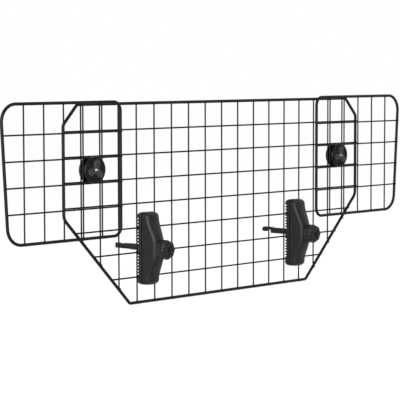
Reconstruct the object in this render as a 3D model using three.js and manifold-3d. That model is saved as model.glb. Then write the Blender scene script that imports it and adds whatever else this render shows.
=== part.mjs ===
import * as THREE from 'three';
import { mergeVertices } from 'three/addons/utils/BufferGeometryUtils.js';
import Module from 'manifold-3d';

const wasm = await Module();
wasm.setup();

// A dog guard for a car: a centre panel of welded wire mesh, two mesh wings that slide across its
// face, each held by a round clamp, and two jaw clamps whose hook bolts catch the headrest posts.
// Sizes are in millimetres. X runs across the car, Y runs forward toward the seats, Z is up.
// The origin is midway across, in the plane of the centre frame rod, level with the hook bolts.

// Steel stock and the clearances between pieces
const rodDiameter = 6;
const wireDiameter = 2.5;
const seatGap = 0.3;
const slideGap = 0.5;
const threadGap = 0.3;
const weldTolerance = 1e-3;
const cutOverrun = 2;

// Mesh: wires in each panel, and the narrower or wider cells left beside the rod
const centreUprightCount = 17;
const centreLevelCount = 7;
const wingUprightCount = 5;
const wingLevelCount = 4;
const centreSideCell = 47;
const centreTopCell = 52.5;
const leftOuterCell = 41;
const rightOuterCell = 33;

// Centre panel, measured from the middle of its mesh to the centre line of the rod. The foot's
// corners lie just past a whole number of cells from the middle.
const centreHalfWidth = 447;
const centreHalfHeight = 202.5;
const chamferWidth = 36.5;
const chamferHeight = 39;
const slantDrop = 20;
const footColumnCount = 5;
const footCorner = 22;
const chamferBend = 11;
const slantBend = 22;
const footBend = 9;

// Wing panels: overlap inward of the clamp, reach past the centre panel, and heights
const wingOverlap = 74;
const leftWingReach = 160;
const rightWingReach = 152;
const wingTaper = 16;
const wingTopRise = 4;
const wingFoot = 61.5;
const wingDrop = 2.7;
const wingInnerBend = 18;
const wingOuterBend = 34;

// Wing clamps: whole cells between the middle wires and the clamp's own cell
const clampColumnCount = 7;
const clampLevelCount = 1;
const clampBoltDiameter = 8;
const clampBoltEndRise = 2.5;
const clampBoltEndRound = 3;
const clampHeadDiameter = 16;
const clampHeadDepth = 3;
const clampHeadRound = 2;
const discOverlap = 1.25;
const discEdgeRound = 2.2;
const knobDiscDepth = 5;
const knobDiscLand = 3.5;
const dishDepth = 1.5;
const dishSlope = 2;
const gripRise = 3.5;
const gripReach = 21;
const gripEndWidth = 14;
const gripHollow = 3;
const gripEdgeRound = 1.5;
const backingDepth = 4;
const backingLand = 4;
const backingBossDiameter = 25;
const backingRecessDepth = 1.5;
const backingDraft = 1;

// Headrest clamps: whole cells across to the jaw's own cell and down to the bolt's wire
const jawColumnCount = 4;
const jawLevelCount = 2;
const leftJawShift = -5;
const rightJawShift = -2;
const jawHeight = 148;
const jawWidth = 42;
const jawCornerRound = 9;
const jawEndDepth = 30;
const jawMiddleDepth = 48;
const jawFrontRound = 9;
const jawEndRound = 10;
const jawArchStart = 10;
const jawArchEnd = 65;
const jawDraft = 1.5;
const jawWaist = 2;
const notchesPerCellCount = 8;
const toothDepth = 4.5;
const toothLand = 1.2;
const toothMargin = 10;
const stripDepth = 13;
const partingWidth = 1.8;
const partingDepth = 1.6;

// Jaw knob
const knobDiameter = 40;
const knobDepth = 24;
const knobCollarDepth = 3;
const knobCollarDiameter = 34;
const knobLobeDepth = 1.4;
const knobBackRound = 1.5;
const knobFrontRound = 7;
const knobRecessDiameter = 18;
const knobRecessDepth = 5;

// Hook bolt and its guide sleeve
const boltDiameter = 8;
const hookDiameter = 12;
const sleeveDiameter = 13;
const sleeveFront = 24;
const sleeveBack = 40;
const hookDraw = 20;
const sleeveEdge = 0.8;
const hookSeatStart = 57;
const hookSeatWidth = 15;
const hookLength = 83;
const hookThickness = 10.4;
const hookNeckRise = 1.2;
const hookNeckDepth = 6;
const hookTipDrop = 3;
const hookSeatRound = 2.5;
const hookTipRound = 5;
const hookEdgeRound = 1.2;

// Facets
const wireSides = 8;
const rodSides = 12;
const boltSides = 16;
const discSides = 36;
const recessSides = 24;
const gripArmCount = 3;
const gripTurn = Math.PI * 0.44;
const bendStep = Math.PI / 10;
const roundSteps = 3;
const jawFrontSteps = 5;
const knobLobes = 8;
const stepsPerLobe = 5;

// Places worked out from the sizes above
const rodRadius = rodDiameter / 2;
const wireRadius = wireDiameter / 2;
const uprightLay = wireRadius + seatGap / 2;
const levelLay = -uprightLay;
const meshFront = levelLay - wireRadius;
const wingPlane = -rodDiameter - slideGap;
const wingMeshFront = wingPlane + meshFront;
const uprightPitch = (2 * (centreHalfWidth - centreSideCell)) / (centreUprightCount - 1);
const levelPitch = (2 * (centreHalfHeight - centreTopCell)) / (centreLevelCount - 1);
const meshRise = jawLevelCount * levelPitch - wireRadius - seatGap - sleeveDiameter / 2;
const footHalfWidth = footColumnCount * uprightPitch + footCorner;
const clampX = clampColumnCount * uprightPitch + uprightPitch / 2;
const clampZ = clampLevelCount * levelPitch + levelPitch / 2 - wingDrop / 2;
const wingInner = clampX - wingOverlap;
const wingTop = centreHalfHeight + wingTopRise;
const discDiameter = uprightPitch + wireDiameter + 2 * discOverlap;
const knobDiscBack = wingMeshFront - seatGap;
const gripFront = -knobDiscDepth - gripRise;
const backingFront = uprightLay + wireRadius + seatGap;
const jawBack = uprightLay - wireRadius - seatGap;
const toothPitch = levelPitch / notchesPerCellCount;
const boltWireZ = meshRise - jawLevelCount * levelPitch;
const jawX = jawColumnCount * uprightPitch + uprightPitch / 2;
const knobBack = jawBack - jawMiddleDepth - seatGap;

// Materials
const coatedSteel = { color: 0x1d1d1e, roughness: 0.42, metalness: 0.35 };
const glossPlastic = { color: 0x202122, roughness: 0.28, metalness: 0 };
const mouldedPlastic = { color: 0x29292a, roughness: 0.6, metalness: 0 };
const sleevePlastic = { color: 0x1b1b1a, roughness: 0.75, metalness: 0 };
const zincPlate = { color: 0xb9bdc1, roughness: 0.25, metalness: 1 };

function piece(name, geometry, finish) {
  const mesh = new THREE.Mesh(geometry, new THREE.MeshStandardMaterial(finish));
  mesh.name = name;
  return mesh;
}

function placed(mesh, x, y, z, turn = 0) {
  mesh.position.set(x, y, z);
  mesh.rotation.y = turn;
  return mesh;
}

// Shared corners are merged, triangles without area dropped, and the faces turned outward.
function closed(geometry) {
  const bare = new THREE.BufferGeometry();
  bare.setAttribute('position', geometry.getAttribute('position'));
  bare.setIndex(geometry.index);
  const merged = mergeVertices(bare, weldTolerance);
  const corners = merged.index.array;
  const at = merged.getAttribute('position');
  const a = new THREE.Vector3();
  const b = new THREE.Vector3();
  const c = new THREE.Vector3();
  const faces = [];
  let volume = 0;
  for (let i = 0; i < corners.length; i += 3) {
    const [p, q, r] = corners.slice(i, i + 3);
    if (p === q || q === r || r === p) continue;
    faces.push([p, q, r]);
    volume += a.fromBufferAttribute(at, p).dot(
      b.fromBufferAttribute(at, q).cross(c.fromBufferAttribute(at, r)),
    );
  }
  merged.setIndex(faces.flatMap(([p, q, r]) => (volume > 0 ? [p, q, r] : [p, r, q])));
  merged.computeVertexNormals();
  return merged;
}

function toSolid(geometry) {
  const shell = closed(geometry);
  return new wasm.Manifold(new wasm.Mesh({
    numProp: 3,
    vertProperties: new Float32Array(shell.getAttribute('position').array),
    triVerts: new Uint32Array(shell.index.array),
  }));
}

function toGeometry(solid) {
  const mesh = solid.getMesh();
  const geometry = new THREE.BufferGeometry();
  geometry.setAttribute('position', new THREE.BufferAttribute(mesh.vertProperties, 3));
  geometry.setIndex(new THREE.BufferAttribute(mesh.triVerts, 1));
  geometry.computeVertexNormals();
  return geometry;
}

// Rings with equal numbers of points are skinned one to the next; open ends are capped.
function skin(rings, loop) {
  const count = rings[0].length;
  const faces = [];
  const last = loop ? rings.length : rings.length - 1;
  for (let i = 0; i < last; i += 1) {
    const here = i * count;
    const next = ((i + 1) % rings.length) * count;
    for (let j = 0; j < count; j += 1) {
      const k = (j + 1) % count;
      faces.push(here + j, here + k, next + k, here + j, next + k, next + j);
    }
  }
  if (!loop) {
    const far = (rings.length - 1) * count;
    for (let j = 1; j < count - 1; j += 1) {
      faces.push(0, j + 1, j, far, far + j, far + j + 1);
    }
  }
  const geometry = new THREE.BufferGeometry().setFromPoints(rings.flat());
  geometry.setIndex(faces);
  return closed(geometry);
}

// Round rod bent to a closed loop in the plane of the guard. The rings are mitred at each bend, so
// the rod keeps its thickness.
function bentRod(loop) {
  const count = loop.length;
  const rings = loop.map((point, i) => {
    const arriving = point.clone().sub(loop[(i + count - 1) % count]).normalize();
    const leaving = loop[(i + 1) % count].clone().sub(point).normalize();
    const along = arriving.clone().add(leaving).normalize();
    const reach = rodRadius / along.dot(leaving);
    return Array.from({ length: rodSides }, (unused, j) => {
      const turn = (2 * Math.PI * j) / rodSides;
      const across = reach * Math.cos(turn);
      return new THREE.Vector3(
        point.x + along.y * across,
        rodRadius * Math.sin(turn),
        point.y - along.x * across,
      );
    });
  });
  return skin(rings, true);
}

// Turned piece about the Y axis, from points given as radius and distance along Y.
function turned(profile, sides) {
  const points = profile.map(([radius, along]) => new THREE.Vector2(radius, along));
  return closed(new THREE.LatheGeometry(points, sides));
}

// Quarter round from one profile point to the next, bulging toward the given corner.
function quarterRound(from, corner, to, steps = roundSteps) {
  return Array.from({ length: steps + 1 }, (unused, i) => {
    const turn = (Math.PI / 2) * (i / steps);
    const near = 1 - Math.sin(turn);
    const far = 1 - Math.cos(turn);
    return from.map((value, axis) => (
      corner[axis] + (value - corner[axis]) * near + (to[axis] - corner[axis]) * far
    ));
  });
}

// Outline in the plane of the guard, extruded toward the boot from the given depth.
function frontPrism(shape, depth, bevel, back) {
  const geometry = new THREE.ExtrudeGeometry(shape, {
    depth: depth - bevel,
    bevelEnabled: bevel > 0,
    bevelThickness: bevel,
    bevelSize: bevel,
    bevelOffset: -bevel,
    bevelSegments: roundSteps,
    curveSegments: roundSteps * 2,
  });
  return geometry.rotateX(Math.PI / 2).translate(0, back, 0);
}

// Outline in the Y and Z plane, extruded across X and centred on it.
function sidePrism(shape, width, bevel) {
  const geometry = new THREE.ExtrudeGeometry(shape, {
    depth: width - 2 * bevel,
    bevelEnabled: bevel > 0,
    bevelThickness: bevel,
    bevelSize: bevel,
    bevelOffset: -bevel,
    bevelSegments: 2,
    curveSegments: roundSteps,
  });
  const turn = new THREE.Matrix4().makeBasis(
    new THREE.Vector3(0, 1, 0),
    new THREE.Vector3(0, 0, 1),
    new THREE.Vector3(1, 0, 0),
  );
  return geometry.translate(0, 0, bevel - width / 2).applyMatrix4(turn);
}

function roundedRectangle(width, height, round) {
  const x = width / 2;
  const y = height / 2;
  const shape = new THREE.Shape();
  shape.absarc(x - round, y - round, round, 0, Math.PI / 2);
  shape.absarc(round - x, y - round, round, Math.PI / 2, Math.PI);
  shape.absarc(round - x, round - y, round, Math.PI, (3 * Math.PI) / 2);
  shape.absarc(x - round, round - y, round, (3 * Math.PI) / 2, 2 * Math.PI);
  return shape;
}

// Frame outlines are corners with a bend radius; the loop is the rod's centre line.
function bentLoop(corners) {
  return corners.flatMap(([x, z, bend], i) => {
    const here = new THREE.Vector2(x, z);
    const [bx, bz] = corners[(i + corners.length - 1) % corners.length];
    const [ax, az] = corners[(i + 1) % corners.length];
    const back = new THREE.Vector2(bx, bz).sub(here).normalize();
    const on = new THREE.Vector2(ax, az).sub(here).normalize();
    const half = Math.acos(back.dot(on)) / 2;
    const middle = back.clone().add(on).normalize();
    const centre = here.clone().addScaledVector(middle, bend / Math.sin(half));
    const start = here.clone().addScaledVector(back, bend / Math.tan(half)).sub(centre);
    const turn = (Math.PI - 2 * half) * Math.sign(on.cross(back));
    const steps = Math.max(2, Math.ceil(Math.abs(turn) / bendStep));
    return Array.from({ length: steps + 1 }, (unused, k) => (
      start.clone().rotateAround(new THREE.Vector2(), (turn * k) / steps).add(centre)
    ));
  });
}

// Where a wire's two ends stand: back from the rod's centre line by enough to clear its round side,
// however the rod slants there.
function wireEnds(loop, along, across, at) {
  const places = [];
  loop.forEach((here, i) => {
    const next = loop[(i + 1) % loop.length];
    if ((here[across] > at) !== (next[across] > at)) {
      const share = (at - here[across]) / (next[across] - here[across]);
      const length = here.distanceTo(next);
      const sine = Math.abs(next[across] - here[across]) / length;
      const cosine = Math.abs(next[along] - here[along]) / length;
      places.push({
        middle: here[along] + (next[along] - here[along]) * share,
        cutBack: (rodRadius + seatGap + wireRadius * cosine) / sine,
      });
    }
  });
  const [low, high] = places.sort((one, other) => one.middle - other.middle);
  return [low.middle + low.cutBack, high.middle - high.cutBack];
}

function evenPlaces(count, pitch, first) {
  return Array.from({ length: count }, (unused, i) => first + i * pitch);
}

function uprightWire(x, [low, high]) {
  const geometry = new THREE.CylinderGeometry(wireRadius, wireRadius, high - low, wireSides);
  return closed(geometry.rotateX(Math.PI / 2).translate(x, uprightLay, (low + high) / 2));
}

function levelWire(z, [low, high]) {
  const geometry = new THREE.CylinderGeometry(wireRadius, wireRadius, high - low, wireSides);
  return closed(geometry.rotateZ(Math.PI / 2).translate((low + high) / 2, levelLay, z));
}

// A mesh panel: level wires laid across the uprights, all inside the bent frame rod.
function meshPanel(name, corners, columns, rows) {
  const panel = new THREE.Group();
  const loop = bentLoop(corners);
  panel.add(piece(`${name}_frame_rod`, bentRod(loop), coatedSteel));
  columns.forEach((x, i) => {
    const wire = uprightWire(x, wireEnds(loop, 'y', 'x', x));
    panel.add(piece(`${name}_upright_wire_${i + 1}`, wire, coatedSteel));
  });
  rows.forEach((z, i) => {
    const wire = levelWire(z, wireEnds(loop, 'x', 'y', z));
    panel.add(piece(`${name}_level_wire_${i + 1}`, wire, coatedSteel));
  });
  return panel;
}

function centrePanel() {
  const rightSide = [
    [footHalfWidth, -centreHalfHeight, footBend],
    [centreHalfWidth, -slantDrop, slantBend],
    [centreHalfWidth, centreHalfHeight - chamferHeight, chamferBend],
    [centreHalfWidth - chamferWidth, centreHalfHeight, chamferBend],
  ];
  const leftSide = rightSide.map(([x, z, bend]) => [-x, z, bend]).reverse();
  const columns = evenPlaces(centreUprightCount, uprightPitch, centreSideCell - centreHalfWidth);
  const rows = evenPlaces(centreLevelCount, levelPitch, centreTopCell - centreHalfHeight);
  const panel = meshPanel('centre', [...rightSide, ...leftSide], columns, rows);
  panel.position.z = meshRise;
  return panel;
}

function wingPanel(name, side, reach, outerCell) {
  const outer = centreHalfWidth + reach;
  const corners = [
    [side * wingInner, -wingFoot, wingInnerBend],
    [side * (outer - wingTaper), -wingFoot, wingOuterBend],
    [side * outer, wingTop, wingOuterBend],
    [side * wingInner, wingTop, wingInnerBend],
  ];
  const pitch = (outer - wingTaper - outerCell - clampX) / (wingUprightCount - 3 / 2);
  const columns = evenPlaces(wingUprightCount, pitch, clampX - pitch / 2);
  const rows = evenPlaces(wingLevelCount, levelPitch, -wingDrop);
  const panel = meshPanel(`${name}_wing`, corners, columns.map((x) => side * x), rows);
  panel.position.set(0, wingPlane, meshRise);
  return panel;
}

// Three round-ended arms with hollow flanks between them, drawn about the bolt's axis.
function gripOutline() {
  const step = (2 * Math.PI) / gripArmCount;
  const endRadius = gripEndWidth / 2;
  const spoke = (turn, reach) => new THREE.Vector2(Math.cos(turn), Math.sin(turn))
    .multiplyScalar(reach);
  const outline = new THREE.Shape();
  for (let i = 0; i < gripArmCount; i += 1) {
    const turn = gripTurn + i * step;
    const end = spoke(turn, gripReach - endRadius);
    outline.absarc(end.x, end.y, endRadius, turn - Math.PI / 2, turn + Math.PI / 2);
    const hollow = spoke(turn + step / 2, gripHollow);
    const next = spoke(turn + step, gripReach - endRadius)
      .add(spoke(turn + step - Math.PI / 2, endRadius));
    outline.quadraticCurveTo(hollow.x, hollow.y, next.x, next.y);
  }
  return outline;
}

// The front disc of a wing clamp: a dished face with a rounded rim and a three-armed grip.
function knobDisc() {
  const radius = discDiameter / 2;
  const dishRadius = radius - discEdgeRound - knobDiscLand;
  const front = -knobDiscDepth;
  const profile = [
    [0, 0],
    [radius - discEdgeRound / 2, 0],
    [radius, -discEdgeRound / 2],
    ...quarterRound(
      [radius, front + discEdgeRound],
      [radius, front],
      [radius - discEdgeRound, front],
    ),
    [dishRadius, front],
    [dishRadius - dishSlope, front + dishDepth],
    [0, front + dishDepth],
  ];
  const disc = toSolid(turned(profile, discSides));
  const gripDepth = gripRise + dishDepth + cutOverrun;
  const grip = frontPrism(gripOutline(), gripDepth, gripEdgeRound, gripFront + gripDepth);
  const boreRadius = clampBoltDiameter / 2 + threadGap;
  const bore = turned([
    [0, cutOverrun],
    [boreRadius, cutOverrun],
    [boreRadius, gripFront - cutOverrun],
    [0, gripFront - cutOverrun],
  ], boltSides);
  return toGeometry(disc.add(toSolid(grip)).subtract(toSolid(bore)));
}

// The disc behind the mesh: flat in front, recessed at the back round a boss that seats the bolt head.
function backingDisc() {
  const radius = discDiameter / 2;
  const rim = radius - backingLand;
  const floor = backingDepth - backingRecessDepth;
  const boss = backingBossDiameter / 2;
  const headSeat = clampHeadDiameter / 2 + seatGap;
  const bore = clampBoltDiameter / 2 + threadGap;
  const edge = discEdgeRound / 2;
  return turned([
    [bore, 0],
    [radius - edge, 0],
    [radius, edge],
    ...quarterRound(
      [radius, backingDepth - discEdgeRound],
      [radius, backingDepth],
      [radius - discEdgeRound, backingDepth],
    ),
    [rim, backingDepth],
    [rim - backingDraft, floor],
    [boss + backingDraft, floor],
    [boss, backingDepth],
    [headSeat, backingDepth],
    [headSeat, floor],
    [bore, floor],
    [bore, 0],
  ], discSides);
}

// Clamp bolt with its low round head behind and its domed end standing proud of the knob disc.
function clampBolt() {
  const radius = clampBoltDiameter / 2;
  const headRadius = clampHeadDiameter / 2;
  const headFront = backingDepth - backingRecessDepth + seatGap;
  const headBack = headFront + clampHeadDepth;
  const end = knobDiscBack - backingFront + gripFront - clampBoltEndRise;
  return turned([
    [0, end],
    ...quarterRound(
      [radius - clampBoltEndRound, end],
      [radius, end],
      [radius, end + clampBoltEndRound],
    ),
    [radius, headFront],
    [headRadius, headFront],
    ...quarterRound(
      [headRadius, headBack - clampHeadRound],
      [headRadius, headBack],
      [headRadius - clampHeadRound, headBack],
    ),
    [0, headBack],
  ], boltSides);
}

// Half the jaw's width and its depth at a height, as it arches from its ends to its middle.
function jawSection(z) {
  const fromEnd = jawHeight / 2 - Math.abs(z);
  const rise = THREE.MathUtils.smoothstep(fromEnd, jawArchStart, jawArchEnd);
  const cornerLeft = Math.max(0, jawCornerRound - fromEnd);
  const cornerInset = jawCornerRound - Math.sqrt(jawCornerRound ** 2 - cornerLeft ** 2);
  const endLeft = Math.max(0, jawEndRound - fromEnd);
  const endInset = jawEndRound - Math.sqrt(jawEndRound ** 2 - endLeft ** 2);
  return {
    back: jawWidth / 2 - cornerInset,
    front: jawWidth / 2 - cornerInset - jawDraft - jawWaist * rise,
    depth: jawEndDepth + (jawMiddleDepth - jawEndDepth) * rise - endInset,
  };
}

// The jaw body is skinned through level sections: a straight-sided strip, then a housing that draws
// in to a full round front.
function jawBody() {
  const half = jawHeight / 2;
  const archStations = 7;
  const upper = [
    ...Array.from({ length: roundSteps + 2 }, (unused, i) => (
      half - jawCornerRound * (1 - Math.cos((Math.PI / 2) * (i / (roundSteps + 1))))
    )),
    ...Array.from({ length: archStations }, (unused, i) => (
      (half - jawCornerRound) * (1 - (i + 1) / (archStations + 1))
    )),
  ];
  const stations = [...upper.map((z) => -z), 0, ...upper.reverse()];
  const rings = stations.map((z) => {
    const { back, front, depth } = jawSection(z);
    const roundShare = 0.85;
    const side = Math.min(jawFrontRound, roundShare * front, depth - stripDepth - partingWidth);
    const edge = quarterRound(
      [front, side - depth],
      [front, -depth],
      [front - side, -depth],
      jawFrontSteps,
    );
    const right = [[back, 0], [back, -stripDepth], ...edge];
    const left = right.map(([x, y]) => [-x, y]).reverse();
    return [...right, ...left].map(([x, y]) => new THREE.Vector3(x, y, z));
  });
  return skin(rings, false);
}

// Notches across the jaw's back, so spaced that every level wire behind the jaw lies in one. The
// row stops short of the jaw's ends, but a wire nearer the end still has its notch.
function notchRow() {
  const half = (toothPitch - toothLand) / 2;
  const side = Math.ceil(jawHeight / toothPitch);
  const places = evenPlaces(2 * side + 1, toothPitch, boltWireZ - side * toothPitch)
    .filter((z, i) => {
      const holdsWire = (i - side) % notchesPerCellCount === 0;
      const reach = jawHeight / 2 + (holdsWire ? toothPitch : -toothMargin);
      return Math.abs(z) < reach;
    });
  const comb = new THREE.Shape();
  comb.moveTo(cutOverrun, places[0] - toothPitch / 2);
  places.forEach((z) => {
    comb.lineTo(cutOverrun / 2, z - half);
    comb.lineTo(0, z - half);
    comb.lineTo(-toothDepth, z);
    comb.lineTo(0, z + half);
    comb.lineTo(cutOverrun / 2, z + half);
  });
  comb.lineTo(cutOverrun, places[places.length - 1] + toothPitch / 2);
  return sidePrism(comb, jawWidth + 2 * cutOverrun, 0);
}

// The parting groove runs right round the jaw where its clamping strip meets its housing.
function partingGroove() {
  const slab = new THREE.BoxGeometry(
    jawWidth + 2 * cutOverrun,
    partingWidth,
    jawHeight + 2 * cutOverrun,
  ).translate(0, -stripDepth, 0);
  const core = frontPrism(
    roundedRectangle(
      jawWidth - 2 * partingDepth,
      jawHeight - 2 * partingDepth,
      jawCornerRound - partingDepth,
    ),
    partingWidth + 2 * cutOverrun,
    0,
    partingWidth / 2 + cutOverrun - stripDepth,
  );
  return toSolid(slab).subtract(toSolid(core));
}

function jaw() {
  const sleeveBore = sleeveDiameter / 2 + threadGap;
  const boltBore = boltDiameter / 2 + threadGap;
  const step = -sleeveFront - hookDraw - seatGap;
  const bore = turned([
    [0, cutOverrun],
    [sleeveBore, cutOverrun],
    [sleeveBore, step],
    [boltBore, step],
    [boltBore, -jawMiddleDepth - cutOverrun],
    [0, -jawMiddleDepth - cutOverrun],
  ], boltSides);
  return toGeometry(
    toSolid(jawBody())
      .subtract(toSolid(notchRow()))
      .subtract(partingGroove())
      .subtract(toSolid(bore)),
  );
}

// Barrel knob with shallow lobes, a full round front edge and a recess where the bolt's end shows.
function jawKnob() {
  const radius = knobDiameter / 2;
  const shoulder = -knobCollarDepth - knobBackRound;
  const barrel = [
    [radius - knobBackRound, -knobCollarDepth],
    [radius, shoulder],
    ...quarterRound(
      [radius, knobFrontRound - knobDepth],
      [radius, -knobDepth],
      [radius - knobFrontRound, -knobDepth],
    ),
  ];
  const rings = barrel.map(([reach, along]) => (
    Array.from({ length: knobLobes * stepsPerLobe }, (unused, i) => {
      const turn = (2 * Math.PI * i) / (knobLobes * stepsPerLobe);
      const dip = (knobLobeDepth * (1 - Math.cos(knobLobes * turn))) / 2;
      return new THREE.Vector3(
        (reach - dip) * Math.cos(turn),
        along,
        (reach - dip) * Math.sin(turn),
      );
    })
  ));
  const collar = turned([
    [0, 0],
    [knobCollarDiameter / 2, 0],
    [knobCollarDiameter / 2, shoulder],
    [0, shoulder],
  ], discSides);
  const recess = turned([
    [0, knobRecessDepth - knobDepth],
    [knobRecessDiameter / 2 - sleeveEdge, knobRecessDepth - knobDepth],
    [knobRecessDiameter / 2, -knobDepth - cutOverrun],
    [0, -knobDepth - cutOverrun],
  ], recessSides);
  const boreRadius = boltDiameter / 2 + threadGap;
  const bore = turned([
    [0, cutOverrun],
    [boreRadius, cutOverrun],
    [boreRadius, -knobDepth],
    [0, -knobDepth],
  ], boltSides);
  return toGeometry(
    toSolid(skin(rings, false))
      .add(toSolid(collar))
      .subtract(toSolid(recess))
      .subtract(toSolid(bore)),
  );
}

function guideSleeve() {
  const outer = sleeveDiameter / 2;
  const inner = boltDiameter / 2 + threadGap;
  const front = jawBack - sleeveFront;
  return turned([
    [inner, front],
    [outer - sleeveEdge, front],
    [outer, front + sleeveEdge],
    [outer, sleeveBack - sleeveEdge],
    [outer - sleeveEdge, sleeveBack],
    [inner, sleeveBack],
    [inner, front],
  ], boltSides);
}

// Forged hook: the neck rises over a flat seat for the post, and the tip turns down past it.
function hookBolt() {
  const radius = hookDiameter / 2;
  const neckTop = radius + hookNeckRise;
  const seat = neckTop - hookNeckDepth;
  const seatEnd = hookSeatStart + hookSeatWidth;
  const rise = hookNeckRise + hookSeatRound;
  const outline = new THREE.Shape();
  outline.moveTo(sleeveBack + seatGap, -radius);
  outline.lineTo(hookSeatStart, -radius);
  outline.lineTo(hookSeatStart, seat - hookSeatRound);
  outline.quadraticCurveTo(hookSeatStart, seat, hookSeatStart + hookSeatRound, seat);
  outline.lineTo(seatEnd - hookSeatRound, seat);
  outline.quadraticCurveTo(seatEnd, seat, seatEnd, seat - hookSeatRound);
  outline.lineTo(seatEnd, -hookTipDrop);
  outline.lineTo(hookLength - hookTipRound, -hookTipDrop);
  outline.quadraticCurveTo(hookLength, -hookTipDrop, hookLength, seat);
  outline.quadraticCurveTo(hookLength, neckTop, hookLength - 2 * hookTipRound, neckTop);
  outline.lineTo(hookSeatStart, neckTop);
  outline.quadraticCurveTo(hookSeatStart - rise / 2, neckTop, hookSeatStart - rise, radius);
  outline.lineTo(sleeveBack + seatGap, radius);
  const hook = sidePrism(outline, hookThickness, hookEdgeRound);
  const end = knobBack - knobDepth + knobRecessDepth / 2;
  const shank = turned([
    [0, end],
    [boltDiameter / 2 - sleeveEdge, end],
    [boltDiameter / 2, end + sleeveEdge],
    [boltDiameter / 2, sleeveBack + seatGap],
    [radius - sleeveEdge, sleeveBack + seatGap],
    [radius, sleeveBack + seatGap + sleeveEdge],
    [radius, hookSeatStart - sleeveEdge],
    [radius - sleeveEdge, hookSeatStart],
    [0, hookSeatStart],
  ], boltSides);
  return toGeometry(toSolid(hook).add(toSolid(shank)));
}

function wingClamp(name, side) {
  const clamp = new THREE.Group();
  clamp.position.set(side * clampX, 0, meshRise + clampZ);
  clamp.add(
    placed(piece(`${name}_knob_disc`, knobDisc(), glossPlastic), 0, knobDiscBack, 0),
    placed(piece(`${name}_backing_disc`, backingDisc(), glossPlastic), 0, backingFront, 0),
    placed(piece(`${name}_clamp_bolt`, clampBolt(), zincPlate), 0, backingFront, 0),
  );
  return clamp;
}

function headrestClamp(name, x, hookTurn) {
  const clamp = new THREE.Group();
  clamp.position.x = x;
  clamp.add(
    placed(piece(`${name}_jaw`, jaw(), mouldedPlastic), 0, jawBack, 0),
    placed(piece(`${name}_jaw_knob`, jawKnob(), mouldedPlastic), 0, knobBack, 0),
    piece(`${name}_guide_sleeve`, guideSleeve(), sleevePlastic),
    placed(piece(`${name}_hook_bolt`, hookBolt(), coatedSteel), 0, 0, 0, hookTurn),
  );
  return clamp;
}

const guard = new THREE.Group();
guard.add(
  centrePanel(),
  wingPanel('left', -1, leftWingReach, leftOuterCell),
  wingPanel('right', 1, rightWingReach, rightOuterCell),
  wingClamp('left', -1),
  wingClamp('right', 1),
  headrestClamp('left', -jawX + leftJawShift, -Math.PI / 2),
  headrestClamp('right', jawX + rightJawShift, 0),
);

export default guard;
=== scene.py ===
import math

import bmesh
import bpy
from mathutils import Matrix, Vector


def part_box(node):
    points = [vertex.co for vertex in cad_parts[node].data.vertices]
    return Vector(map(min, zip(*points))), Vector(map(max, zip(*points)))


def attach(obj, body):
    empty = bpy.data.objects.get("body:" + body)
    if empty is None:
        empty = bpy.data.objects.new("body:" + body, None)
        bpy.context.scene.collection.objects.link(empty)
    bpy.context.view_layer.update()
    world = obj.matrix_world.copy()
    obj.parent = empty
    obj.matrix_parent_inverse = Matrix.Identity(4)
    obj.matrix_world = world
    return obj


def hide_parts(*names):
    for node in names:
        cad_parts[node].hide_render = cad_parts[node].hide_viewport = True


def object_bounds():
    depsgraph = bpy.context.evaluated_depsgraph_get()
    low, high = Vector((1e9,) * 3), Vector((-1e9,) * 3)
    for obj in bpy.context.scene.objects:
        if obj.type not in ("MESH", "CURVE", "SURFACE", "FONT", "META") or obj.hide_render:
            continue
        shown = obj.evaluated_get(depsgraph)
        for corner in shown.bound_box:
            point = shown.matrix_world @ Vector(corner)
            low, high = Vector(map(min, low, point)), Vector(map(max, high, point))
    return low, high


bl_info = {
    "name": "Mesh Dog Guard",
    "version": (1, 0, 0),
    "blender": (4, 5, 0),
    "location": "View3D > Sidebar > Dog Guard",
    "description": "Builds a car dog guard of welded mesh with two sliding wings and two headrest clamps",
    "category": "Add Mesh",
}

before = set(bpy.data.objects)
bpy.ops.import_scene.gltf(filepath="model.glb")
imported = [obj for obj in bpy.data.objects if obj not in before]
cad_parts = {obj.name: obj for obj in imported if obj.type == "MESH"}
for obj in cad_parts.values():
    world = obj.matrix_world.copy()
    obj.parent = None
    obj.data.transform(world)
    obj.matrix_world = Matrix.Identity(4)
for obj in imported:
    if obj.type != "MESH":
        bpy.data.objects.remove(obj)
cad_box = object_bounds()

MM = 0.001
SIDES = {"left": -1, "right": 1}
BEHIND = Vector((0, 1, 0))


# colours and settings


def linear(hex_colour):
    """Turns an sRGB hex value into linear red, green and blue."""
    shares = [int(hex_colour[i:i + 2], 16) / 255 for i in (1, 3, 5)]
    return tuple(s / 12.92 if s <= 0.04045 else ((s + 0.055) / 1.055) ** 2.4 for s in shares)


def length(name, description, millimetres):
    """A length property, given in millimetres and kept in metres."""
    return bpy.props.FloatProperty(
        name=name, description=description, default=millimetres * MM, min=0, unit="LENGTH", precision=4
    )


def colour(name, description, hex_colour):
    """A colour property, given as an sRGB hex value."""
    return bpy.props.FloatVectorProperty(
        name=name, description=description, default=linear(hex_colour), size=3, subtype="COLOR", min=0, max=1
    )


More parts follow.
